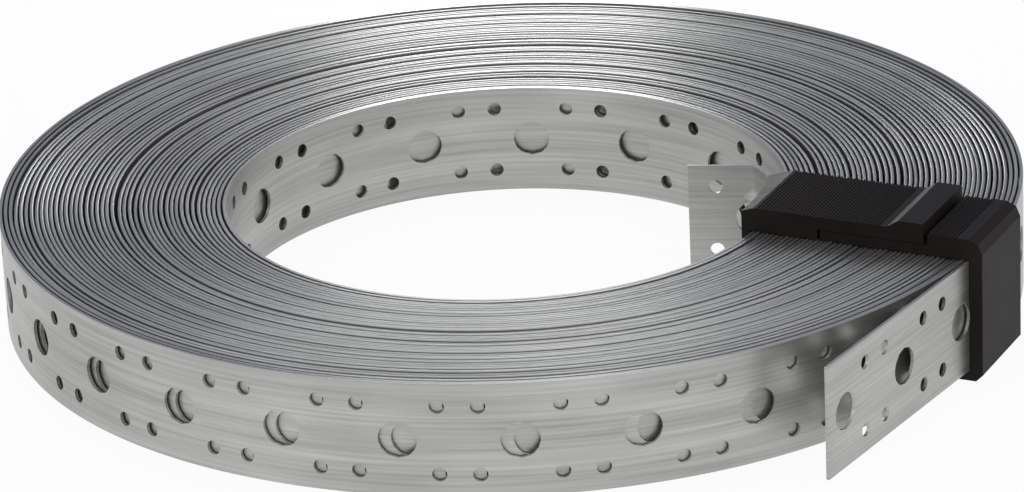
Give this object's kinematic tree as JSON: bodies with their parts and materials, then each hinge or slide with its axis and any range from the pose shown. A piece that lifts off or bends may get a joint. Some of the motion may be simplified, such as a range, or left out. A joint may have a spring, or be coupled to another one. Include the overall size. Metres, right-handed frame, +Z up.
{
  "type": "coil of perforated steel strap",
  "caption": "Flat coil of galvanised perforated steel strap with a free outer end and a kinked inner end, held by a black plastic ratchet clip.",
  "frame": {"origin": "on the axis of the coil's outer turn, level with the coil's underside", "axes": "+Z up along the coil's axis; +X square to the flat free end of the strap, which runs towards -Y"},
  "size_m": [0.3663, 0.3616, 0.0598],
  "materials": {
    "galvanised_steel": "satin zinc",
    "black_plastic": "moulded, slightly glossy"
  },
  "bodies": {
    "root": {"strap": "galvanised_steel", "clip_outer": "black_plastic", "clip_inner": "black_plastic"}
  },
  "joints": []
}
